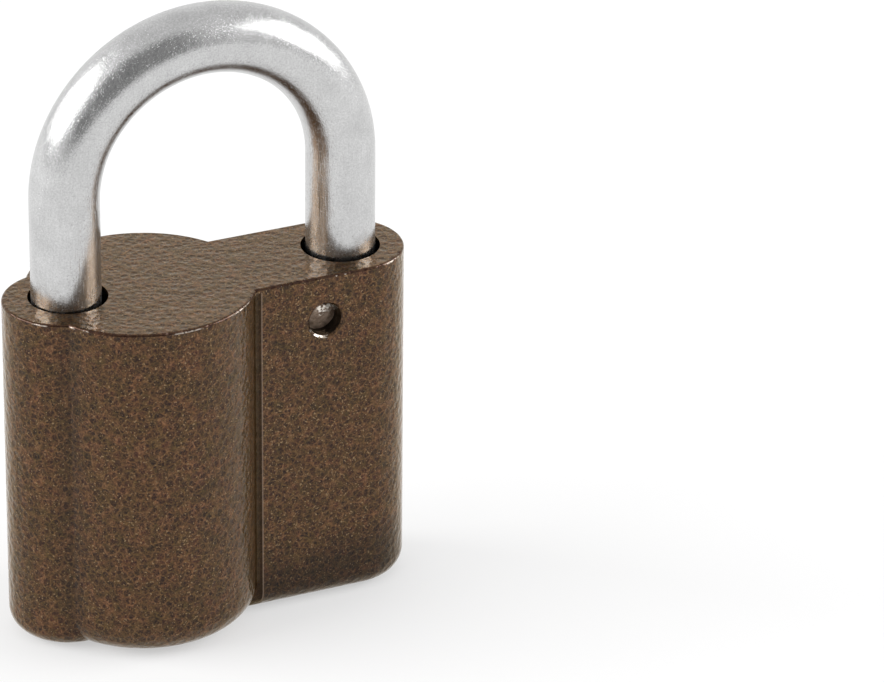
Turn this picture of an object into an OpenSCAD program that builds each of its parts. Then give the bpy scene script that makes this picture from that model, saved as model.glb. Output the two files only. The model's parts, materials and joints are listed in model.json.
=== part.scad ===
// Padlock: a cast body with a round bulge for its lock cylinder, and a round-bar shackle.
// The cylinder goes in from below. It is a disc cylinder whose stud throws a bolt into the toe leg.
// The lock stands shut with its bolt drawn back, so the shackle is free to be lifted.
// Millimetres. The origin is the middle of the underside, +Z is up,
// +X runs towards the heel leg (the one that stays in the body) and the front is at -Y.

/* [Body] */
// Length of the body from end to end
body_l = 72.4; // [68:0.2:90]
// Thickness of the body at its flat panels
body_t = 20.8; // [18:0.2:26]
// Height of the body
body_h = 62.5; // [61:0.5:80]
// Outer radius of the cylinder bulge
bulge_r = 19.7; // [17.5:0.1:25]
// Distance from the middle of the body to the bulge axis, towards the toe leg
bulge_off = 11.7; // [10:0.1:13]
// Rounding of the bottom edge of the panels and ends
base_round = 4; // [1:0.1:6]
// Rounding of the bottom edge of the bulge
bulge_round = 6.2; // [1:0.1:7]
// Rounding of the top edge
top_round = 0.45; // [0.2:0.05:1]
// Fillet where the bulge runs into the panels
notch_fillet = 2; // [0.5:0.1:3]

/* [Shackle] */
// Diameter of the shackle bar
bar_d = 12; // [9:0.5:14.5]
// Distance between the axes of the two legs
leg_span = 50.4; // [48:0.2:54]
// Height of the straight part of the legs above the body
leg_rise = 18; // [10:1:40]
// Gap all round between a leg and its hole
leg_gap = 0.85; // [0.2:0.05:1.5]
// Share of that gap by which the toe leg stands outwards of the middle of its hole
toe_out = 0.5; // [0:0.05:0.6]
// Share of that gap by which the toe leg stands to the front in its hole
toe_front = 0.4; // [0:0.05:0.6]
// Depth of the toe leg in the body
toe_depth = 14; // [13:0.5:18]
// Travel of the shackle when it is lifted
lift = 18; // [15.5:0.5:20]
// Chamfer at the tips of the legs
tip_chamfer = 1.2; // [0.5:0.1:2]
// Solid end of the heel leg below its swivel neck
heel_end = 7; // [4:0.5:10]

/* [Heel pin] */
// Diameter of the pin that keeps the heel leg in the body
pin_d = 6; // [4:0.5:7]
// Depth of the pin's axis below the top of the body
pin_drop = 8.3; // [6:0.1:12]
// Depth by which the pin reaches into the side of the heel leg
pin_bite = 1.8; // [1:0.1:2.5]
// Distance from the front panel in to the end of the pin
pin_recess = 2.6; // [0.5:0.1:5]
// Chamfer at the mouth of the pin's hole
pin_mouth = 0.3; // [0.1:0.05:0.5]
// Thickness of the wall left behind the pin
pin_back_wall = 2.2; // [1:0.1:4]
// Height of the dome on the pin's front end
pin_dome = 0.5; // [0.2:0.1:1]

/* [Cylinder] */
// Outer diameter of the barrel
barrel_d = 25; // [24:0.2:30]
// Wall of the barrel
barrel_wall = 2.9; // [2.5:0.1:4]
// Depth of the barrel's end in the underside of the body
barrel_recess = 2.4; // [2:0.1:4]
// Thickness of the barrel's inward lip
lip_t = 2; // [1.5:0.1:3]
// Width of the barrel's inward lip
lip_w = 2.2; // [1.5:0.1:3]
// Thickness of the hardened guard plate
guard_t = 2.5; // [1.5:0.1:3]
// Wall of the disc cage
cage_wall = 1.5; // [1:0.1:2]
// Thickness of the cage's end wall
cage_end = 2.4; // [2:0.1:4]
// Number of code discs
disc_n = 9; // [5:1:9]
// Thickness of a code disc
disc_t = 2.4; // [1.5:0.1:2.5]
// Thickness of a spacer disc
spacer_t = 0.9; // [0.5:0.1:1]
// Radius of the half-round keyway
keyway_r = 3.4; // [2.5:0.1:4]
// Angle between one code step and the next, in degrees
code_step = 18; // [10:1:18]
// Width of the sidebar
sidebar_w = 2.6; // [2:0.1:3]
// Depth of the sidebar along the cylinder's radius
sidebar_h = 2.8; // [2.4:0.1:3.2]
// Depth of the groove in the barrel that the sidebar locks into
groove_depth = 1.3; // [0.8:0.1:1.6]
// Diameter of the locating pin beside the barrel
locator_d = 3; // [2:0.5:4]
// Length of the locating pin
locator_l = 12; // [6:1:20]

/* [Retaining ring] */
// Thickness of the ring
ring_t = 1.2; // [0.8:0.1:1.5]
// Depth of the ring's groove in the body
ring_groove = 1; // [0.6:0.1:1.4]
// Width of the ring along its radius
ring_w = 2.6; // [2:0.1:3.5]
// Gap between the ring's two ends
ring_gap = 7; // [4:0.5:10]

/* [Bolt] */
// Distance of the drive stud from the cylinder's axis
stud_off = 2.8; // [2:0.1:3.2]
// Diameter of the drive stud
stud_d = 3.6; // [3:0.1:4]
// Height of the drive stud above its cam
stud_h = 3.2; // [2:0.1:4]
// Thickness of the drive cam
cam_t = 2.4; // [2:0.1:4]
// Width of the bolt
bolt_w = 12; // [11:0.5:14]
// Width of the bolt's nose
nose_w = 10; // [6:0.5:11]
// Height of the bolt's nose
nose_h = 5; // [3:0.5:6]
// Solid end of the toe leg below its notch
toe_end = 3; // [2:0.5:5]
// Thickness of metal between the drive slot and the bolt's faces
slot_wall = 1; // [0.8:0.1:2]
// Thickness of metal between the bolt's pocket and the toe hole
pocket_web = 1.2; // [0.8:0.1:2]

/* [Fits] */
// Gap between parts that turn or slide in one another
run_gap = 0.1; // [0.05:0.01:0.15]
// Gap around the bolt, and between it and the toe leg's notch
bolt_gap = 0.3; // [0.2:0.05:0.4]
// Play of the drive stud in its slot, at each side
stud_gap = 0.2; // [0.15:0.01:0.3]
// Gap between a fixed pin and its hole, all round
pin_gap = 0.03; // [0.01:0.01:0.05]

/* [Hidden] */
$fn = 96;
over = 0.5;                    // how far a cut runs past the face that it opens
fillet_ease = 1.04;            // a fillet's round runs a little into its two walls

half_t = body_t / 2;
end_x = body_l / 2 - half_t;   // axes of the two rounded ends
leg_x = leg_span / 2;
bar_r = bar_d / 2;
hole_r = bar_r + leg_gap;
arch_z = body_h + leg_rise;    // height of the centre of the bow

// Cylinder, listed upwards from the underside
cyl_x = -bulge_off;
barrel_r = barrel_d / 2;
bore_r = barrel_r + run_gap;
barrel_in_r = barrel_r - barrel_wall;
barrel_z = barrel_recess;
ring_z = barrel_z - run_gap - ring_t;
guard_z = barrel_z + lip_t + run_gap;
cage_z = guard_z + guard_t + run_gap;
stack_z = cage_z + run_gap;
pitch = disc_t + spacer_t + 2 * run_gap;
stack_top = stack_z + disc_n * disc_t + (disc_n - 1) * (spacer_t + 2 * run_gap);
cage_in_top = stack_top + run_gap;
cage_top = cage_in_top + cage_end;
cam_z = cage_top + run_gap;
cam_top = cam_z + cam_t;
barrel_top = cam_top + run_gap;
bore_top = barrel_top + run_gap;

turning_r = barrel_in_r - run_gap;        // cage, guard plate and cam
cage_in_r = turning_r - cage_wall;
disc_r = cage_in_r - run_gap;
bar_out_r = turning_r;                    // outer edge of the sidebar, drawn in
bar_in_r = bar_out_r - sidebar_h;
gate_w = sidebar_w + 2 * run_gap;
tongue_w = 3;                             // drive tongue under the cam
tongue_h = 1.2;

// Disc codes, as steps from the keyway's own position
codes = [0, 3, 1, 4, 2, 5, 1, 3, 0];

// The stud swings a quarter turn about the +Y direction, so it throws the bolt this far
throw = stud_off * sqrt(2);
stud_x = cyl_x + throw / 2;               // stud at rest, with the bolt drawn back
stud_y = throw / 2;
slot_hw = stud_d / 2 + stud_gap;
slot_y0 = stud_y - slot_hw;
slot_y1 = stud_off + slot_hw;

// Toe leg and bolt
toe_z = body_h - toe_depth;
toe_hole = [-leg_x + toe_out * leg_gap, toe_front * leg_gap];
notch_z = toe_z + toe_end;
nose_z = notch_z + bolt_gap;
nose_top = nose_z + nose_h;
notch_top = nose_top + bolt_gap;
nose_x = -leg_x + bar_r + bolt_gap + run_gap;
notch_x = nose_x - throw - bolt_gap;
bolt_z = bore_top;
foot_x = stud_x - slot_hw - slot_wall;
riser_x = max(foot_x, toe_hole[0] + hole_r + pocket_web + throw + bolt_gap);
foot_top = min(toe_z - bolt_gap - pocket_web - bolt_gap, nose_z);
bolt_x1 = stud_x + slot_hw + 3 * slot_wall;
enter_shift = foot_x - nose_x + throw;    // room to pass the nose up into its pocket
pocket_x1 = max(bolt_x1 + bolt_gap, bolt_x1 - throw + enter_shift);

// Heel pin and heel leg
pin_r = pin_d / 2;
pin_x = leg_x - bar_r + pin_bite - pin_r;
pin_z = body_h - pin_drop;
neck_r = leg_x - pin_x - pin_r - bolt_gap;
flat_r = neck_r + run_gap;                // from the leg's axis to the flat
neck_z = pin_z - lift - pin_r - bolt_gap;
neck_top = pin_z - lift + pin_r + bolt_gap;
heel_z = neck_z - heel_end;

disc_names = [for (i = [1:disc_n]) str("code_disc_", i)];
spacer_names = [for (i = [1:disc_n - 1]) str("spacer_disc_", i)];

paint = "#5a4636";
bright_steel = "#c9ccce";
dark_steel = "#77787a";
brass = "#b39a5c";

// ---- shared shapes ----

// Everything inside the body's outline at one rounded end or at the bulge
module edge_profile(r, bottom_round = base_round) {
    difference() {
        square([r, body_h]);
        translate([r - bottom_round, 0])
            difference() {
                translate([0, -over]) square([bottom_round + over, bottom_round + over]);
                translate([0, bottom_round]) circle(bottom_round);
            }
        translate([r - top_round, body_h - top_round])
            difference() {
                square(top_round + over);
                circle(top_round);
            }
    }
}

// Cylinder along the lock cylinder's axis, from z0 to z1
module on_axis(r, z0, z1) {
    translate([cyl_x, 0, z0]) cylinder(r = r, h = z1 - z0);
}

// Ring along the lock cylinder's axis
module tube(r_out, r_in, z0, z1) {
    difference() {
        on_axis(r_out, z0, z1);
        on_axis(r_in, z0 - over, z1 + over);
    }
}

// Bar along the cylinder's radius, at an angle, for the sidebar and the slots that hold it
module radial_bar(angle, r0, r1, w, z0, z1) {
    translate([cyl_x, 0, z0]) rotate(angle) translate([r0, -w / 2, 0]) cube([r1 - r0, w, z1 - z0]);
}

// Half-round key opening, turned by an angle
module keyway(angle, z0, z1) {
    translate([cyl_x, 0, z0]) rotate(angle)
        intersection() {
            cylinder(r = keyway_r, h = z1 - z0);
            translate([-keyway_r - 1, -keyway_r - 1, 0])
                cube([2 * keyway_r + 2, keyway_r + 1 + keyway_r * 0.35, z1 - z0]);
        }
}

// ---- body ----

module body_blank() {
    translate([-end_x, 0, 0]) rotate(90) rotate_extrude(angle = 180) edge_profile(half_t);
    translate([end_x, 0, 0]) rotate(-90) rotate_extrude(angle = 180) edge_profile(half_t);
    translate([-end_x, 0, 0]) rotate([90, 0, 90]) linear_extrude(2 * end_x) {
        edge_profile(half_t);
        mirror([1, 0]) edge_profile(half_t);
    }
    translate([cyl_x, 0, 0]) rotate_extrude() edge_profile(bulge_r, bulge_round);
    notch_fillets();
}

// Upright fillet in the corner between the bulge and a neighbour: a prism that reaches from the fillet's
// axis to a point inside the body, less the round of the fillet itself. Its foot is rounded off with the bulge's.
module corner_fillet(axis, on_bulge, on_side, inside) {
    foot = max(bulge_round, base_round);
    for (s = [-1, 1])
        intersection() {
            linear_extrude(body_h - top_round) difference() {
                polygon([for (p = [on_bulge, axis, on_side, inside]) [p[0], s * p[1]]]);
                translate([axis[0], s * axis[1]]) circle(notch_fillet * fillet_ease);
            }
            // its foot slopes out from the rounded bottom edge, so that nothing of it shows below
            translate([cyl_x, 0, 0]) rotate_extrude()
                polygon([[0, foot - bulge_r], [bulge_r + notch_fillet, foot + notch_fillet],
                    [bulge_r + notch_fillet, body_h], [0, body_h]]);
        }
}

module notch_fillets() {
    reach = bulge_r + notch_fillet;
    rise = half_t + notch_fillet;
    run = sqrt(reach * reach - rise * rise);
    share = bulge_r / reach;
    corner = sqrt(bulge_r * bulge_r - half_t * half_t);
    // heel side, against the flat panel
    corner_fillet([cyl_x + run, rise], [cyl_x + run * share, rise * share], [cyl_x + run, half_t],
        [cyl_x + corner - notch_fillet, half_t - notch_fillet]);
    // toe side, against the rounded end, or the flat panel if the bulge stops short of that end
    apart = end_x - bulge_off;
    along = run < apart ? run : (reach * reach - rise * rise + apart * apart) / (2 * apart);
    up = sqrt(reach * reach - along * along);
    out = max(along - apart, 0);
    corner_fillet([cyl_x - along, up], [cyl_x - along * share, up * share],
        [cyl_x - along + out * notch_fillet / rise, up * (1 - notch_fillet / rise)],
        [cyl_x - along + 2 * notch_fillet, up * (1 - notch_fillet / rise) - notch_fillet]);
}

// Pocket for the bolt, open to the cylinder bore below and to the toe hole at its nose
module bolt_pocket() {
    hw = bolt_w / 2 + bolt_gap;
    nw = nose_w / 2 + bolt_gap;
    x0 = foot_x - throw - bolt_gap;
    x1 = riser_x - throw - bolt_gap;
    translate([x0, -hw, bore_top - over]) cube([pocket_x1 - x0, 2 * hw, foot_top + bolt_gap + over - bore_top]);
    translate([x1, -hw, bore_top - over]) cube([pocket_x1 - x1, 2 * hw, nose_top + bolt_gap + over - bore_top]);
    translate([-leg_x, -nw, nose_z - bolt_gap]) cube([leg_x + x1 + over, 2 * nw, nose_h + 2 * bolt_gap]);
}

module body_casting() {
    color(paint) difference() {
        body_blank();
        translate([toe_hole[0], toe_hole[1], toe_z - bolt_gap]) cylinder(r = hole_r, h = body_h);
        translate([leg_x, 0, heel_z - bolt_gap]) cylinder(r = hole_r, h = body_h);
        translate([pin_x, half_t - pin_back_wall, pin_z]) rotate([90, 0, 0])
            cylinder(r = pin_r, h = body_t);
        translate([pin_x, pin_mouth - half_t, pin_z]) rotate([90, 0, 0])
            cylinder(r1 = pin_r, r2 = pin_r + pin_mouth + over, h = pin_mouth + over);
        on_axis(bore_r, -over, bore_top);
        on_axis(bore_r + ring_groove, ring_z - run_gap, ring_z + ring_t + run_gap);
        translate([cyl_x, barrel_r, -over]) cylinder(r = locator_d / 2 + pin_gap,
            h = barrel_z + locator_l + run_gap + over);
        bolt_pocket();
    }
}

// ---- shackle ----

module leg(x, z) {
    translate([x, 0, z]) cylinder(r1 = bar_r - tip_chamfer, r2 = bar_r, h = tip_chamfer);
    translate([x, 0, z + tip_chamfer]) cylinder(r = bar_r, h = arch_z - z - tip_chamfer);
}

module shackle() {
    color(bright_steel) difference() {
        union() {
            leg(-leg_x, toe_z);
            leg(leg_x, heel_z);
            translate([0, 0, arch_z]) rotate([90, 0, 0]) rotate_extrude(angle = 180)
                translate([leg_x, 0]) circle(bar_r);
        }
        // notch for the bolt
        translate([notch_x, -bar_r - over, notch_z]) cube([bar_d, body_t, notch_top - notch_z]);
        // flat that slides past the heel pin
        translate([leg_x - bar_d - flat_r, -bar_r - over, neck_z + run_gap])
            cube([bar_d, body_t, pin_z + pin_r + bolt_gap - neck_z - run_gap]);
        // neck in which the heel pin runs when the raised shackle is swung aside
        translate([leg_x, 0, neck_z]) difference() {
            cylinder(r = bar_r + over, h = neck_top - neck_z);
            translate([0, 0, -over]) cylinder(r = neck_r, h = body_h);
        }
    }
}

module heel_pin() {
    r = pin_r - pin_gap;
    y0 = -half_t + pin_recess;
    y1 = half_t - pin_back_wall - pin_gap;
    cap_r = (r * r + pin_dome * pin_dome) / (2 * pin_dome);
    color(dark_steel) intersection() {
        translate([pin_x, y1, pin_z]) rotate([90, 0, 0]) cylinder(r = r, h = y1 - y0);
        translate([pin_x, y0 + cap_r, pin_z]) rotate([90, 0, 0])
            translate([0, 0, -body_t]) {
                translate([0, 0, body_t]) sphere(cap_r);
                cylinder(r = bar_d, h = body_t);
            }
    }
}

// ---- lock cylinder ----

module cylinder_barrel() {
    color(brass) difference() {
        tube(barrel_r, barrel_in_r, barrel_z, barrel_top);
        radial_bar(0, barrel_in_r - over, barrel_in_r + groove_depth, gate_w, guard_z, cage_top);
        translate([cyl_x, barrel_r, barrel_z - over])
            cylinder(r = locator_d / 2 + pin_gap, h = locator_l + over + run_gap);
    }
    color(brass) tube(barrel_in_r + over, barrel_in_r - lip_w, barrel_z, barrel_z + lip_t);
}

module locating_pin() {
    color(dark_steel) translate([cyl_x, barrel_r, barrel_z])
        cylinder(r = locator_d / 2, h = locator_l);
}

module retaining_ring() {
    r = bore_r + ring_groove - run_gap;
    color(dark_steel) difference() {
        tube(r, r - ring_w, ring_z, ring_z + ring_t);
        translate([cyl_x - r - over, -ring_gap / 2, ring_z - over])
            cube([ring_w + 2 * over, ring_gap, ring_t + 2 * over]);
    }
}

module guard_plate() {
    color(dark_steel) difference() {
        on_axis(turning_r, guard_z, guard_z + guard_t);
        keyway(0, guard_z - over, guard_z + guard_t + over);
    }
}

module disc_cage() {
    color(brass) difference() {
        on_axis(turning_r, cage_z, cage_top);
        on_axis(cage_in_r, cage_z - over, cage_in_top);
        radial_bar(-90, cage_in_r - over, turning_r + over, gate_w, cage_z + over, cage_in_top);
        translate([cyl_x - turning_r, -tongue_w / 2 - run_gap, cage_top - tongue_h - run_gap])
            cube([2 * turning_r, tongue_w + 2 * run_gap, tongue_h + run_gap + over]);
    }
}

// A code disc has a half-round keyway, turned to its code, and a gate for the sidebar
module code_disc(i) {
    z = stack_z + (i - 1) * pitch;
    color(brass) difference() {
        on_axis(disc_r, z, z + disc_t);
        keyway(-code_step * codes[(i - 1) % len(codes)], z - over, z + disc_t + over);
        radial_bar(-90, bar_in_r - run_gap, disc_r + over, gate_w, z - over, z + disc_t + over);
    }
}

// A spacer has a round middle hole that clears the key
module spacer_disc(i) {
    z = stack_z + (i - 1) * pitch + disc_t + run_gap;
    color(dark_steel) difference() {
        tube(disc_r, keyway_r + 0.4, z, z + spacer_t);
        radial_bar(-90, bar_in_r - run_gap, disc_r + over, gate_w, z - over, z + spacer_t + over);
    }
}

module sidebar() {
    color(bright_steel)
        radial_bar(-90, bar_in_r, bar_out_r - run_gap, sidebar_w, cage_z + 2 * over, cage_in_top - over);
}

module drive_cam() {
    color(dark_steel) {
        on_axis(turning_r, cam_z, cam_top);
        translate([cyl_x - turning_r + over, -tongue_w / 2, cam_z - tongue_h])
            cube([2 * (turning_r - over), tongue_w, tongue_h + over]);
        translate([stud_x, stud_y, cam_z]) cylinder(d = stud_d, h = cam_t + stud_h);
    }
}

// The bolt has a foot over the cam and a narrower nose that reaches the toe leg
module locking_bolt() {
    hw = bolt_w / 2;
    color(bright_steel) difference() {
        union() {
            translate([foot_x, -hw, bolt_z]) cube([bolt_x1 - foot_x, bolt_w, foot_top - bolt_z]);
            translate([riser_x, -hw, bolt_z]) cube([bolt_x1 - riser_x, bolt_w, nose_top - bolt_z]);
            translate([nose_x, -nose_w / 2, nose_z]) cube([bolt_x1 - nose_x, nose_w, nose_h]);
        }
        translate([stud_x - slot_hw, slot_y0, bolt_z - over])
            cube([2 * slot_hw, slot_y1 - slot_y0, stud_h + stud_gap + over]);
    }
}

body_casting();
shackle();
heel_pin();
cylinder_barrel();
locating_pin();
retaining_ring();
guard_plate();
disc_cage();
sidebar();
drive_cam();
locking_bolt();
for (i = [1:disc_n]) code_disc(i);
for (i = [1:disc_n - 1]) spacer_disc(i);
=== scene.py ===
"""The looks of a padlock: a cast body in brown hammertone enamel and a bright round-bar shackle.

Every part keeps the shape it was packed with. This script gives each one its finish, and adds
a pale floor, a soft studio and the camera.
"""
import json
import math

import bpy
from mathutils import Matrix, Vector


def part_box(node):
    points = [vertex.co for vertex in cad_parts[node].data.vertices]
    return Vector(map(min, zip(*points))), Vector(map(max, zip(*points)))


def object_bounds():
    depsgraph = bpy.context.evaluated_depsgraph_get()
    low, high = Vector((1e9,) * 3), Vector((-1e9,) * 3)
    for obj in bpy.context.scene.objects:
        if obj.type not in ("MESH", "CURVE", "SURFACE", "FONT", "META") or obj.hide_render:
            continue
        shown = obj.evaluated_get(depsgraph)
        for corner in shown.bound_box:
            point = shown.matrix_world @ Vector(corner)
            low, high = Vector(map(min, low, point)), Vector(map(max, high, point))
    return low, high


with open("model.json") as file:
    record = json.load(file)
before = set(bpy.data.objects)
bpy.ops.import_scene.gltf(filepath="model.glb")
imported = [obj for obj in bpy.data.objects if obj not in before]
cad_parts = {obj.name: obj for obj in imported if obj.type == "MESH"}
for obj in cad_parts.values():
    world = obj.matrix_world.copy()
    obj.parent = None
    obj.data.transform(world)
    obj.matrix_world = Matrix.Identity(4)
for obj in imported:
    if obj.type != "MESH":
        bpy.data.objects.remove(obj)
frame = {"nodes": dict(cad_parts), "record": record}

MM = 0.001

cad_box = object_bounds()


# ---------------------------------------------------------------- places, from the frame, in mm

def box_mm(node):
    """The lowest and highest corner of a part, in millimetres."""
    low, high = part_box(node)
    return low / MM, high / MM


def casting_points():
    """The corners of the body's mesh, in millimetres."""
    return [v.co / MM for v in frame["nodes"]["body_casting"].data.vertices]


def hole_centres():
    """The middles of the two leg holes, from the rims that the casting has in its flat top."""
    rim = [p for p in casting_points() if p.z > TOP - 0.01]
    reach = BAR_RADIUS + 2.5       # past a hole's rim, and short of anything else in the top
    middles = []
    for x in LEG_AXES:
        near = [p for p in rim if (p.x - x) ** 2 + p.y ** 2 < reach ** 2]
        middles.append(((min(p.x for p in near) + max(p.x for p in near)) / 2,
                        (min(p.y for p in near) + max(p.y for p in near)) / 2))
    return middles


def lobe_corner():
    """Where the bulge meets the rounded left end of the body, as x and y."""
    apart = BARREL_AXIS.x - (body_low.x + PANEL_Y)
    back = (BULGE_RADIUS ** 2 - PANEL_Y ** 2 + apart ** 2) / (2 * apart)
    return BARREL_AXIS.x - back, math.sqrt(BULGE_RADIUS ** 2 - back ** 2)


body_low, body_high = box_mm("body_casting")
shackle_low, shackle_high = box_mm("shackle")
pin_low, pin_high = box_mm("heel_pin")
barrel_low, barrel_high = box_mm("cylinder_barrel")

PIN_AXIS = Vector(((pin_low.x + pin_high.x) / 2, 0, (pin_low.z + pin_high.z) / 2))
PIN_RADIUS = (pin_high.x - pin_low.x) / 2
BARREL_AXIS = Vector(((barrel_low.x + barrel_high.x) / 2, 0, 0))
BARREL_RADIUS = (barrel_high.x - barrel_low.x) / 2
BAR_RADIUS = shackle_high.y
LEG_AXES = (shackle_low.x + BAR_RADIUS, shackle_high.x - BAR_RADIUS)
BOW_CENTRE = shackle_high.z - shackle_high.x    # the height at which the legs turn into the bow
TOP = body_high.z
BULGE_RADIUS = body_high.y
TOE_HOLE, HEEL_HOLE = hole_centres()
# Half the thickness of the body at its flat panels.
PANEL_Y = max(p.y for p in casting_points() if p.x > PIN_AXIS.x)
# Where the bulge meets the right panel, as x, and the rounded left end, as x and y.
BULGE_CORNER = BARREL_AXIS.x + math.sqrt(BULGE_RADIUS ** 2 - PANEL_Y ** 2)
LOBE_CORNER = lobe_corner()


# ---------------------------------------------------------------- a short way to write node trees

class Nodes:
    """A node tree, with a short call for each kind of node that a material and the world share."""

    def __init__(self, tree):
        self.tree = tree

    def node(self, kind, **settings):
        made = self.tree.nodes.new(kind)
        for name, value in settings.items():
            setattr(made, name, value)
        return made

    def feed(self, socket, value):
        if isinstance(value, bpy.types.NodeSocket):
            self.tree.links.new(value, socket)
        else:
            socket.default_value = value

    def split(self, vector):
        """The three parts of a vector."""
        parts = self.node("ShaderNodeSeparateXYZ")
        self.feed(parts.inputs[0], vector)
        return parts.outputs

    def joined(self, *values):
        """A vector of the values given, and 0 for those that are not."""
        made = self.node("ShaderNodeCombineXYZ")
        for socket, value in zip(made.inputs, values):
            self.feed(socket, value)
        return made.outputs[0]

    def math(self, operation, *values):
        made = self.node("ShaderNodeMath", operation=operation)
        for socket, value in zip(made.inputs, values):
            self.feed(socket, value)
        return made.outputs[0]

    def step(self, value, low, high, to_low=0.0, to_high=1.0):
        """A soft step: to_low up to low, to_high from high on."""
        made = self.node("ShaderNodeMapRange", interpolation_type="SMOOTHSTEP")
        for name, number in (("From Min", low), ("From Max", high),
                             ("To Min", to_low), ("To Max", to_high)):
            self.feed(made.inputs[name], number)
        self.feed(made.inputs["Value"], value)
        return made.outputs["Result"]

    def fall(self, value, low, high):
        """A soft step down: 1 up to low, 0 from high on."""
        return self.step(value, low, high, 1.0, 0.0)

    def from_axis(self, across, along, centre):
        """The distance from an axis, given two coordinates square to it and its place in them."""
        offsets = [self.math("SUBTRACT", value, place) for value, place in zip((across, along), centre)]
        return self.math("SQRT", self.math("ADD", *(self.math("MULTIPLY", o, o) for o in offsets)))

    def product(self, *masks):
        """Several masks at once: 1 only where all of them are."""
        total = masks[0]
        for mask in masks[1:]:
            total = self.math("MULTIPLY", total, mask)
        return total


class Finish(Nodes):
    """One material, with a short call for each kind of node that only materials use."""

    def __init__(self, name):
        self.material = bpy.data.materials.new(name)
        self.material.use_nodes = True
        super().__init__(self.material.node_tree)
        self.shader = self.tree.nodes["Principled BSDF"]
        place = self.node("ShaderNodeTexCoord").outputs["Object"]
        self.mm = self.vector("SCALE", place, Scale=1 / MM)
        self.x, self.y, self.z = self.split(self.mm)

    def set(self, **values):
        """Sets the shader's own sockets: Base_Color is the socket called Base Color."""
        for name, value in values.items():
            self.feed(self.shader.inputs[name.replace("_", " ")], value)

    def vector(self, operation, *values, Scale=None):
        made = self.node("ShaderNodeVectorMath", operation=operation)
        for socket, value in zip(made.inputs, values):
            self.feed(socket, value)
        if Scale is not None:
            made.inputs["Scale"].default_value = Scale
        return made.outputs["Value" if operation == "LENGTH" else "Vector"]

    def noise(self, place, size, detail=2.0, roughness=0.5, colour=False):
        """Noise whose lumps are about size across, in the units of place."""
        made = self.node("ShaderNodeTexNoise")
        self.feed(made.inputs["Vector"], place)
        made.inputs["Scale"].default_value = 1 / size
        made.inputs["Detail"].default_value = detail
        made.inputs["Roughness"].default_value = roughness
        return made.outputs["Color" if colour else "Fac"]

    def cells(self, place, size, feature="F1"):
        """A Voronoi pattern whose cells are about size across."""
        made = self.node("ShaderNodeTexVoronoi", feature=feature)
        self.feed(made.inputs["Vector"], place)
        made.inputs["Scale"].default_value = 1 / size
        return made

    def ramp(self, value, *stops):
        """Colours along a value: each stop is (place, colour)."""
        made = self.node("ShaderNodeValToRGB")
        elements = made.color_ramp.elements
        while len(elements) < len(stops):
            elements.new(0.5)
        for element, (place, colour) in zip(elements, stops):
            element.position = place
            element.color = (*colour, 1)
        self.feed(made.inputs[0], value)
        return made.outputs["Color"]

    def mix(self, share, first, second, blend="MIX"):
        """The first colour, with a share of the second."""
        made = self.node("ShaderNodeMix", data_type="RGBA", blend_type=blend)
        self.feed(made.inputs["Factor"], share)
        for socket, value in ((made.inputs[6], first), (made.inputs[7], second)):
            self.feed(socket, value if isinstance(value, bpy.types.NodeSocket) else (*value, 1))
        return made.outputs[2]

    def bump(self, height, depth, under=None):
        """The normal of a relief: height runs from 0 to 1, and depth is in millimetres."""
        made = self.node("ShaderNodeBump")
        made.inputs["Strength"].default_value = 1.0
        made.inputs["Distance"].default_value = depth * MM
        self.feed(made.inputs["Height"], height)
        if under is not None:
            self.feed(made.inputs["Normal"], under)
        return made.outputs["Normal"]

    def warped(self, size, reach):
        """The place in mm, pushed about by noise, so that patterns lose their straight edges."""
        push = self.vector("SUBTRACT", self.noise(self.mm, size, colour=True), (0.5, 0.5, 0.5))
        return self.vector("ADD", self.mm, self.vector("SCALE", push, Scale=2 * reach))


def grey(value):
    return (value, value, value)


# ---------------------------------------------------------------- finishes

WALL_REACH = 1.1                           # from what stands in a hole to past the hole's wall, in mm
CELL = 1.25                                # the hammertone's cells, in mm across
FINE_CELL = 0.55                           # the finer net of veins over them
FLAKE_EDGE = (0.84, 0.68, 0.46)            # what the paint's flakes turn to at a grazing angle
BRIGHT_SPECK = (0.27, 0.175, 0.088)
CORNER_SHADE = (0.020, 0.011, 0.005)             # painted shade in the corner between bulge and panel
FILLET_HIGHLIGHT = (0.30, 0.215, 0.16)                # a painted highlight on the thin raised line beside it
# a painted dark reflection along the top's rounded edge
EDGE_DARK_REFLECTION = (0.040, 0.014, 0.008)
# painted shade on the walls inside the holes
HOLE_SHADE = (0.016, 0.014, 0.012)
BARE_METAL = (0.52, 0.45, 0.385)
FOOT_DARKENING = (0.27, 0.262, 0.25)           # on the shackle, where it leaves the body
BATTERED = (1.0, 0.93, 0.84)               # the fresh steel on the pin's end
STREAK_STRETCH = 18.0                      # how much longer the shackle's streaks are than wide
SCRATCH_TURNS = ((0.0, 0.3, 0.2), (0.9, -0.5, 0.7), (-0.6, 0.8, 1.4))    # in radians about x, y, z
RING_PITCH = 0.16                          # the lathe's rings on the brass, in mm
STEEL_RELIEF = 0.006                       # the depth of grain and scratches inside, in mm


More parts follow.
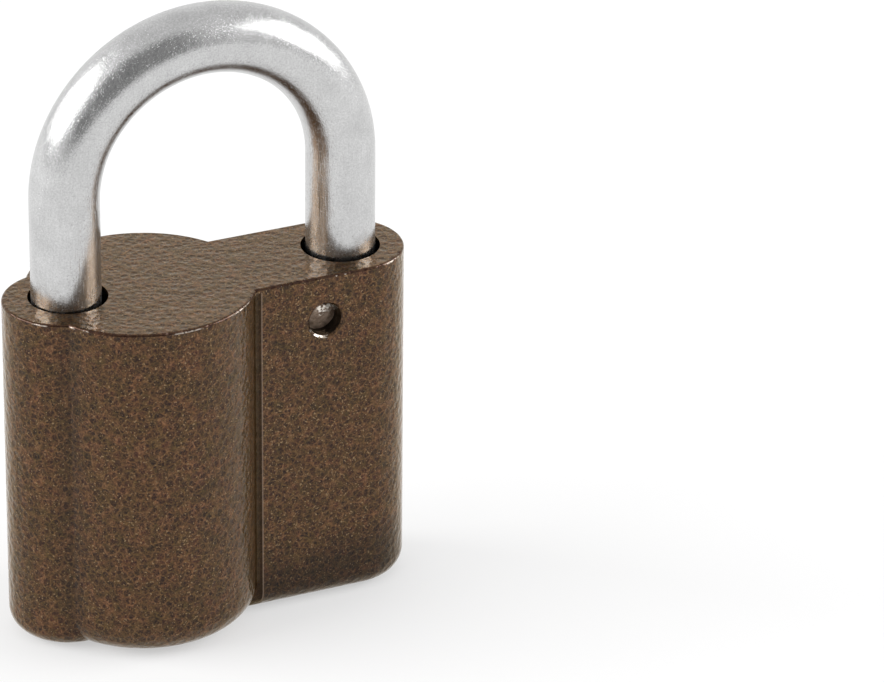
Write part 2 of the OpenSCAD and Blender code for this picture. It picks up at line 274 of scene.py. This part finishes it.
def inside_holes(paint):
    """The walls of the leg holes, the pin's hole and the hollow for the barrel, where shade is painted as
    a dark colour.
    """
    below_top = paint.fall(paint.z, TOP - 0.9, TOP - 0.4)
    above_foot = paint.step(paint.z, 0.05, 0.4)
    behind_panel = paint.step(paint.y, 0.2 - PANEL_Y, 0.7 - PANEL_Y)
    pin_hole = paint.fall(paint.from_axis(paint.x, paint.z, (PIN_AXIS.x, PIN_AXIS.z)),
                          PIN_RADIUS + 0.05, PIN_RADIUS + 0.15)
    total = paint.product(behind_panel, paint.fall(paint.y, 0.0, 1.0), pin_hole)
    upright_holes = ((TOE_HOLE, BAR_RADIUS), (HEEL_HOLE, BAR_RADIUS),
                     ((BARREL_AXIS.x, 0), BARREL_RADIUS))
    for centre, radius in upright_holes:
        wall = paint.fall(paint.from_axis(paint.x, paint.y, centre),
                          radius + WALL_REACH, radius + WALL_REACH + 0.3)
        total = paint.math("MAXIMUM", total, paint.product(below_top, above_foot, wall))
    return total


def in_pin_radii(finish):
    """How far right of the pin's axis and how far above it, as shares of the pin's radius."""
    return [finish.math("DIVIDE", finish.math("SUBTRACT", value, middle), PIN_RADIUS)
            for value, middle in ((finish.x, PIN_AXIS.x), (finish.z, PIN_AXIS.z))]


def bare_chips(paint):
    """Where the paint is gone: a chipped facet and crumbs at the mouth of the pin's hole."""
    radius = paint.from_axis(paint.x, paint.z, (PIN_AXIS.x, PIN_AXIS.z))
    across, up = in_pin_radii(paint)
    facet = paint.product(paint.fall(up, -0.80, -0.66),
                          paint.step(across, -0.42, -0.30), paint.fall(across, 0.18, 0.30),
                          paint.fall(paint.y, 1.9 - PANEL_Y, 2.3 - PANEL_Y))
    rim = paint.product(paint.fall(up, -0.55, -0.35), paint.fall(across, 0.10, 0.30),
                        paint.fall(paint.y, 0.25 - PANEL_Y, 0.4 - PANEL_Y))
    crumbs = paint.step(paint.noise(paint.mm, 0.7, detail=3.0), 0.42, 0.50)
    return paint.product(paint.math("MAXIMUM", facet, rim), crumbs,
                         paint.fall(radius, PIN_RADIUS + 0.30, PIN_RADIUS + 0.45))


def edge_reflection_and_wear(paint):
    """The narrow rounded edge of the top: a line of painted dark reflection, with bright
    stretches of bare metal just below it, wear that also stands in for the edge's highlight.

    The flat panel on the right has only a few bare specks.
    """
    lean = paint.split(paint.node("ShaderNodeNewGeometry").outputs["Normal"])["Z"]   # 0 side, 1 top
    at_top = paint.step(paint.z, TOP - 0.7, TOP - 0.5)
    # A line of painted dark reflection along the rounded edge.
    edge = paint.product(at_top, paint.step(lean, 0.05, 0.3), paint.fall(lean, 0.85, 0.97))
    # Bare-metal wear in stretches just below it, which also stands in for the edge's highlight.
    wear_and_highlight = paint.product(at_top, paint.step(lean, 0.04, 0.16), paint.fall(lean, 0.45, 0.62),
                         paint.step(paint.noise(paint.mm, 0.6, detail=3.0, roughness=0.65), 0.40, 0.52),
                         paint.step(paint.noise(paint.mm, 4.5, detail=2.0), 0.52, 0.60))
    panel = paint.product(paint.step(paint.x, BULGE_CORNER - 1.0, BULGE_CORNER),
                          paint.fall(paint.x, LEG_AXES[1] - 0.5, LEG_AXES[1] + 2.5))
    specks = paint.step(paint.noise(paint.mm, 0.5, detail=1.0), 0.60, 0.66)
    whole = paint.product(panel, paint.math("SUBTRACT", 1.0, specks))
    return edge, paint.product(wear_and_highlight, paint.math("SUBTRACT", 1.0, whole))


def painted_shade_and_highlights(paint):
    """Where shade and a highlight are painted on the body, as four masks.

    They are painted shade in the upright fillet between bulge and panel, a painted highlight on the thin
    raised line beside it, painted shade over the lower part of the panel, and painted shade in the
    concave join between the bulge and the left end.
    """
    out = paint.math("ABSOLUTE", paint.y)
    from_fillet = paint.from_axis(paint.x, out, (BULGE_CORNER, PANEL_Y))
    past_corner = paint.math("SUBTRACT", paint.x, BULGE_CORNER)
    below_top = paint.fall(paint.z, TOP - 1.2, TOP - 0.5)
    # painted shade in the upright fillet between bulge and panel
    corner_shade = paint.product(below_top, paint.fall(from_fillet, 1.2, 2.4),
                         paint.fall(past_corner, 1.05, 1.15))
    # a painted highlight on the thin raised line beside the fillet
    fillet_highlight = paint.product(below_top, paint.step(from_fillet, 0.95, 1.05),
                          paint.fall(from_fillet, 1.18, 1.28), paint.step(past_corner, 0.5, 0.6))
    # painted shade over the lower part of the panel, with a wavy upper boundary
    wavy = paint.math("ADD", paint.z, paint.step(paint.noise(paint.mm, 9.0), 0.3, 0.7, -2.0, 2.0))
    foot_shade = paint.product(paint.fall(wavy, 6.0, 14.0), paint.step(past_corner, 0.0, 1.0))
    # painted shade in the concave join between the bulge and the left end
    groove_shade = paint.fall(paint.from_axis(paint.x, out, LOBE_CORNER), 0.6, 3.6)
    return corner_shade, fillet_highlight, foot_shade, paint.product(below_top, groove_shade)


def hammer_pattern(paint):
    """The colour of the hammertone and its relief: dark cells, broken lighter veins, and specks."""
    place = paint.warped(0.7, 0.32)
    cells = paint.cells(place, CELL)
    veins = paint.cells(place, CELL, "DISTANCE_TO_EDGE").outputs["Distance"]
    fine_veins = paint.cells(place, FINE_CELL, "DISTANCE_TO_EDGE").outputs["Distance"]
    cell_colour = paint.ramp(paint.split(cells.outputs["Color"])[0],
                             (0.0, (0.021, 0.0080, 0.0045)), (0.35, (0.035, 0.0130, 0.0070)),
                             (0.7, (0.029, 0.0135, 0.0055)), (1.0, (0.052, 0.0185, 0.0100)))
    broken = paint.noise(paint.mm, 0.7, detail=2.0)
    lines = paint.product(paint.fall(veins, 0.03, 0.20), paint.step(broken, 0.30, 0.60, 0.45, 1.0))
    fine_lines = paint.product(paint.fall(fine_veins, 0.03, 0.22),
                               paint.step(broken, 0.38, 0.62, 0.75, 0.25))
    vein_colour = paint.ramp(paint.noise(paint.mm, 1.1, detail=3.0),
                             (0.36, (0.103, 0.0605, 0.021)), (0.5, (0.130, 0.0695, 0.026)),
                             (0.66, (0.178, 0.097, 0.043)))
    colour = paint.mix(paint.math("MAXIMUM", lines, fine_lines), cell_colour, vein_colour)
    drift = paint.ramp(paint.noise(paint.mm, 2.6, detail=4.0), (0.34, (0.76, 0.78, 0.66)),
                       (0.5, (0.91, 0.84, 0.80)), (0.66, (1.07, 0.90, 0.92)))
    grain = paint.ramp(paint.noise(paint.mm, 0.30, detail=2.0), (0.3, grey(0.54)), (0.7, grey(1.46)))
    colour = paint.mix(1.0, colour, drift, "MULTIPLY")
    colour = paint.mix(1.0, colour, grain, "MULTIPLY")
    specks = paint.step(paint.noise(paint.mm, 0.32, detail=0.0), 0.70, 0.82)
    colour = paint.mix(specks, colour, BRIGHT_SPECK)
    return colour, paint.step(cells.outputs["Distance"], 0.1, 0.8)


def hammertone_paint():
    """Brown hammertone enamel: metal flakes and veins, dimpled, below a clear gloss, with its wear,
    painted shade in corners and holes, and a painted highlight and dark reflection at edges.
    """
    paint = Finish("hammertone_paint")
    colour, lattice = hammer_pattern(paint)
    corner_shade, fillet_highlight, foot_shade, groove_shade = painted_shade_and_highlights(paint)
    # Painted shade: the lower part of the panel is darkened towards the bottom.
    colour = paint.mix(foot_shade, colour, grey(0.46), "MULTIPLY")
    # Painted shade in the join between the bulge and the left end.
    colour = paint.mix(groove_shade, colour, grey(0.74), "MULTIPLY")
    # Painted shade in the fillet between bulge and panel.
    colour = paint.mix(paint.math("MULTIPLY", corner_shade, 0.8), colour, CORNER_SHADE)
    # A painted highlight on the thin raised line beside the fillet.
    colour = paint.mix(paint.math("MULTIPLY", fillet_highlight, 0.5), colour, FILLET_HIGHLIGHT)
    edge, wear_and_highlight = edge_reflection_and_wear(paint)
    # A painted dark reflection along the top's rounded edge.
    colour = paint.mix(paint.math("MULTIPLY", edge, 0.7), colour, EDGE_DARK_REFLECTION)
    # Painted shade on the walls inside the holes.
    colour = paint.mix(inside_holes(paint), colour, HOLE_SHADE)
    # Bare metal: chips at the pin's hole, and wear along the top's edge that also stands in for its
    # highlight.
    bare = paint.math("MAXIMUM", bare_chips(paint), wear_and_highlight)
    colour = paint.mix(bare, colour, BARE_METAL)
    paint.set(
        Base_Color=colour,
        Metallic=paint.step(bare, 0.0, 1.0, 0.8, 1.0),
        Roughness=0.30, Specular_IOR_Level=0.2,
        Specular_Tint=(*FLAKE_EDGE, 1.0),
        Coat_Weight=paint.step(corner_shade, 0.0, 1.0, 0.9, 0.3), Coat_Roughness=0.04, Coat_IOR=1.31,
    )
    peel = paint.noise(paint.mm, 2.2, detail=2.0)
    relief = paint.bump(lattice, 0.070)
    relief = paint.bump(peel, 0.11, under=relief)
    paint.set(Normal=relief, Coat_Normal=relief)
    return paint.material


def bright_steel():
    """Satin bright steel: streaks, fine scratches every way, pits, and a darker, duller mottled belt just
    above the body.
    """
    steel = Finish("bright_steel")
    smear = steel.noise(steel.mm, 4.0, detail=4.0)
    grain = steel.noise(steel.mm, 0.30, detail=2.0, roughness=0.65)
    belt = steel.product(steel.fall(steel.z, TOP - 1.0, TOP + 7.0),
                         steel.step(steel.z, TOP - 6.0, TOP - 0.5, 0.30, 1.0))
    mottle = steel.step(steel.noise(steel.mm, 1.3, detail=4.0, roughness=0.6), 0.38, 0.66)
    # the belt just above the body, darker and duller in mottled patches
    blotches = steel.product(belt, mottle)
    marks = scratches(steel, 0.16, 7.0)
    pits = steel.step(steel.noise(steel.mm, 0.34, detail=1.0), 0.64, 0.74)
    nicks = scratches(steel, 0.20, 3.2, rare=0.10)
    colour = steel.ramp(smear, (0.3, grey(0.55)), (0.7, grey(0.63)))
    shade = steel.ramp(grain, (0.34, grey(0.88)), (0.66, grey(1.08)))
    colour = steel.mix(1.0, colour, shade, "MULTIPLY")
    colour = steel.mix(steel.math("MULTIPLY", marks, 0.16), colour, grey(0.40))
    colour = steel.mix(steel.math("MULTIPLY", blotches, 0.55), colour, FOOT_DARKENING)
    dull = steel.math("MULTIPLY", blotches, 0.12)
    steel.set(Base_Color=colour, Metallic=1.0,
              Roughness=steel.math("ADD", steel.step(smear, 0.3, 0.7, 0.17, 0.27), dull))
    relief = steel.bump(grain, 0.013)
    relief = steel.bump(drawn_streaks(steel), 0.022, under=relief)
    relief = steel.bump(pits, 0.014, under=relief)
    relief = steel.bump(steel.math("ADD", marks, steel.math("MULTIPLY", nicks, 4.0)), 0.005, under=relief)
    steel.set(Normal=relief)
    return steel.material


def drawn_streaks(steel):
    """Long fine streaks that follow the bar up one leg, round the bow and down the other, as 0 to 1."""
    bow = steel.math("MAXIMUM", steel.math("SUBTRACT", steel.z, BOW_CENTRE), 0.0)
    radius = steel.from_axis(steel.x, bow, (0.0, 0.0))
    turn = steel.math("MULTIPLY", steel.math("ARCTAN2", bow, steel.x), LEG_AXES[1])
    along = steel.math("ADD", turn, steel.math("MINIMUM", steel.z, BOW_CENTRE))
    place = steel.joined(radius, steel.y, steel.math("MULTIPLY", along, 1 / STREAK_STRETCH))
    return steel.noise(place, 0.7, detail=3.0, roughness=0.6)


def worn_pin():
    """The driven end of the heel pin: dull brown steel, battered bright towards its top."""
    pin = Finish("pin_steel")
    blotches = pin.noise(pin.mm, 1.1, detail=4.0, roughness=0.6)
    colour = pin.ramp(blotches, (0.35, (0.22, 0.150, 0.105)), (0.62, (0.56, 0.42, 0.32)))
    across, up = in_pin_radii(pin)
    ragged = pin.math("ADD", up, pin.step(pin.noise(pin.mm, 1.0, detail=2.0), 0.25, 0.75, -0.55, 0.55))
    battered = pin.product(pin.step(ragged, -0.10, 0.20), pin.step(across, -0.35, -0.05))
    flecks = pin.product(battered, pin.step(pin.noise(pin.mm, 0.55, detail=3.0), 0.46, 0.52))
    colour = pin.mix(flecks, colour, BATTERED)
    dents = pin.noise(pin.mm, 0.9, detail=3.0)
    pin.set(Base_Color=colour, Metallic=pin.step(flecks, 0.0, 1.0, 0.35, 1.0), Specular_IOR_Level=0.2,
            Roughness=pin.step(flecks, 0.0, 1.0, 0.60, 0.45), Normal=pin.bump(dents, 0.30))
    return pin.material


def scratches(finish, width, length, rare=0.0):
    """Fine lines in three directions, as 0 to 1. The rarer they are, the fewer show."""
    total = None
    for turn in SCRATCH_TURNS:
        aim = finish.node("ShaderNodeMapping")
        finish.feed(aim.inputs["Vector"], finish.mm)
        aim.inputs["Rotation"].default_value = turn
        aim.inputs["Scale"].default_value = (1 / width, 1 / width, 1 / length)
        line = finish.step(finish.noise(aim.outputs[0], 1.0, detail=1.0), 0.55 + rare, 0.72 + rare)
        total = line if total is None else finish.math("MAXIMUM", total, line)
    return total


def turned_brass(name, dark, light, roughness):
    """Brass off a lathe: rings about the barrel's axis, with soft stains."""
    metal = Finish(name)
    offset = metal.vector("SUBTRACT", metal.mm, tuple(BARREL_AXIS))
    flat = metal.vector("MULTIPLY", offset, (1.0, 1.0, 0.0))
    radius = metal.vector("LENGTH", flat)
    ring = metal.noise(metal.joined(radius, metal.z), RING_PITCH, detail=3.0)
    blotches = metal.noise(metal.mm, 3.5, detail=5.0, roughness=0.6)
    colour = metal.ramp(blotches, (0.32, dark), (0.62, light))
    metal.set(
        Base_Color=colour, Metallic=1.0,
        Roughness=metal.step(blotches, 0.3, 0.7, roughness + 0.12, roughness - 0.04),
        Normal=metal.bump(ring, 0.010),
    )
    return metal.material


def plain_steel(name, dark, light, roughness):
    """Milled or hardened steel: scratches, grain and a few darker stains."""
    metal = Finish(name)
    blotches = metal.noise(metal.mm, 2.2, detail=5.0, roughness=0.6)
    grain = metal.bump(metal.noise(metal.mm, 0.25, detail=2.0), STEEL_RELIEF)
    metal.set(
        Base_Color=metal.ramp(blotches, (0.35, dark), (0.65, light)), Metallic=1.0,
        Roughness=metal.step(blotches, 0.3, 0.7, roughness + 0.15, roughness - 0.05),
        Normal=metal.bump(scratches(metal, 0.14, 5.0), STEEL_RELIEF, under=grain),
    )
    return metal.material


def assign_finishes():
    """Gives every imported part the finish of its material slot."""
    made = {
        "hammertone_paint": hammertone_paint(),
        "bright_steel": bright_steel(),
        "pin_steel": worn_pin(),
        "barrel_brass": turned_brass("barrel_brass", (0.50, 0.35, 0.16), (0.68, 0.51, 0.26), 0.26),
        "disc_brass": turned_brass("disc_brass", (0.54, 0.39, 0.19), (0.72, 0.56, 0.31), 0.30),
        "dark_steel": plain_steel("dark_steel", (0.16, 0.16, 0.165), (0.34, 0.34, 0.35), 0.38),
        "inner_steel": plain_steel("inner_steel", (0.36, 0.355, 0.35), grey(0.55), 0.30),
    }
    for row in frame["record"]["subparts"]:
        materials = frame["nodes"][row["node"]].data.materials
        materials.clear()
        materials.append(made[row["material_slot"]])


# ---------------------------------------------------------------- floor and studio

FLOOR_REACH = 6.0
FLOOR_COLOUR = 0.42
FLOOR_GLOW = 0.50          # what shows of the white floor besides the light it sends back
SKY = 0.80                 # the ceiling
BACKDROP = 1.00            # the white backdrop behind the object
BACKDROP_ENDS = (20, 60)   # it gives way to the ceiling between these elevations, in degrees
DARK_ROOM = 0.30           # the unlit room in front of the object
DARK_WINDOW = ((-50, 19), (-40, 60))    # its azimuths and elevations
DARK_SOFT = 9                           # how many degrees its sides take
LAMP_DISTANCE = 1.6
LAMP_RADIANCE = 5.6


def floor():
    """A plain pale floor, white to the camera but for the object's shadow."""
    mesh = bpy.data.meshes.new("floor")
    corners = [(x * FLOOR_REACH, y * FLOOR_REACH, cad_box[0].z)
               for x, y in ((-1, -1), (1, -1), (1, 1), (-1, 1))]
    mesh.from_pydata(corners, [], [(0, 1, 2, 3)])
    plane = bpy.data.objects.new("floor", mesh)
    bpy.context.scene.collection.objects.link(plane)

    white = Finish("floor_white")
    white.set(Base_Color=(*grey(FLOOR_COLOUR), 1), Roughness=1.0,
              Specular_IOR_Level=0.0, Emission_Color=(1, 1, 1, 1))
    rays = white.node("ShaderNodeLightPath").outputs
    seen = white.math("MAXIMUM", rays["Is Camera Ray"],
                      white.math("MAXIMUM", rays["Is Glossy Ray"], rays["Is Transmission Ray"]))
    white.set(Emission_Strength=white.math("MULTIPLY", seen, FLOOR_GLOW))
    mesh.materials.append(white.material)


class Sky(Nodes):
    """The world's light by direction, with azimuth 0 to the front and 90 to the right."""

    def __init__(self):
        world = bpy.data.worlds.new("studio")
        world.use_nodes = True
        bpy.context.scene.world = world
        super().__init__(world.node_tree)
        self.background = self.tree.nodes["Background"]
        right, self.back, up = self.split(self.node("ShaderNodeTexCoord").outputs["Generated"])
        self.azimuth = self.math("ARCTAN2", right, self.math("MULTIPLY", self.back, -1.0))
        self.elevation = self.math("ARCSINE", up)

    def patch(self, azimuths, elevations, soft):
        """1 inside a window of directions, falling to 0 over soft degrees at its sides."""
        sides = []
        for angle, (low, high) in ((self.azimuth, azimuths), (self.elevation, elevations)):
            off = self.math("ABSOLUTE", self.math("SUBTRACT", angle, math.radians((low + high) / 2)))
            half = math.radians((high - low) / 2)
            edge = math.radians(soft) / 2
            sides.append(self.fall(off, half - edge, half + edge))
        return self.math("MULTIPLY", *sides)

    def towards(self, value, share, target):
        """value, moved by share towards target."""
        return self.math("ADD", value, self.math("MULTIPLY", share, self.math("SUBTRACT", target, value)))


def studio_world():
    """A pale room, white behind the object and unlit round the front. The camera sees it white."""
    sky = Sky()
    behind = sky.step(sky.back, 0.25, 0.75)
    low_down = sky.fall(sky.elevation, *(math.radians(a) for a in BACKDROP_ENDS))
    light = sky.towards(SKY, sky.math("MULTIPLY", behind, low_down), BACKDROP)
    light = sky.towards(light, sky.patch(*DARK_WINDOW, DARK_SOFT), DARK_ROOM)
    rays = sky.node("ShaderNodeLightPath").outputs
    seen = sky.math("MAXIMUM", rays["Is Camera Ray"], rays["Is Transmission Ray"])
    light = sky.towards(light, seen, 1.0)
    sky.feed(sky.background.inputs["Strength"], light)
    sky.feed(sky.background.inputs["Color"], (1, 1, 1, 1))


def toward(azimuth, elevation):
    """The direction at an azimuth from the front and an elevation, both in degrees."""
    a, e = math.radians(azimuth), math.radians(elevation)
    return Vector((math.sin(a) * math.cos(e), -math.cos(a) * math.cos(e), math.sin(e)))


def softbox(name, azimuths, elevations):
    """A large soft lamp that fills a window of directions, as seen from the object."""
    width, height = (2 * LAMP_DISTANCE * math.tan(math.radians(high - low) / 2)
                     for low, high in (azimuths, elevations))
    lamp = bpy.data.lights.new(name, "AREA")
    lamp.shape = "RECTANGLE"
    lamp.size, lamp.size_y = width, height
    lamp.energy = LAMP_RADIANCE * math.pi * width * height
    thing = bpy.data.objects.new(name, lamp)
    way = toward(sum(azimuths) / 2, sum(elevations) / 2)
    centre = (cad_box[0] + cad_box[1]) / 2
    thing.location = centre + way * LAMP_DISTANCE
    thing.rotation_euler = (-way).to_track_quat("-Z", "Y").to_euler()
    thing.visible_camera = False
    bpy.context.scene.collection.objects.link(thing)


# ---------------------------------------------------------------- camera

def camera():
    """From the front, a little from the left and above, with the object at the picture's left."""
    azimuth, elevation, roll = -22.43, 26.3, 0.54
    distance, lens = 1.049, 251.3
    turned_right, turned_down = 2.205, 0.655

    target = Vector((0, 0, TOP * MM))
    back = toward(azimuth, elevation)
    right = Vector((math.cos(math.radians(azimuth)), math.sin(math.radians(azimuth)), 0))
    up = back.cross(right)
    looking = Matrix((right, up, back)).transposed()
    looking = looking @ Matrix.Rotation(math.radians(-roll), 3, "Z")
    looking = looking @ Matrix.Rotation(math.radians(-turned_right), 3, "Y")
    looking = looking @ Matrix.Rotation(math.radians(-turned_down), 3, "X")

    data = bpy.data.cameras.new("camera")
    data.lens = lens
    thing = bpy.data.objects.new("camera", data)
    thing.matrix_world = Matrix.Translation(target + back * distance) @ looking.to_4x4()
    bpy.context.scene.collection.objects.link(thing)
    bpy.context.scene.camera = thing


camera()
assign_finishes()
floor()
studio_world()
softbox("softbox_left", (-128, -80), (14, 44))
softbox("softbox_right", (54, 91), (11, 39))
bpy.context.scene.view_settings.view_transform = "Standard"
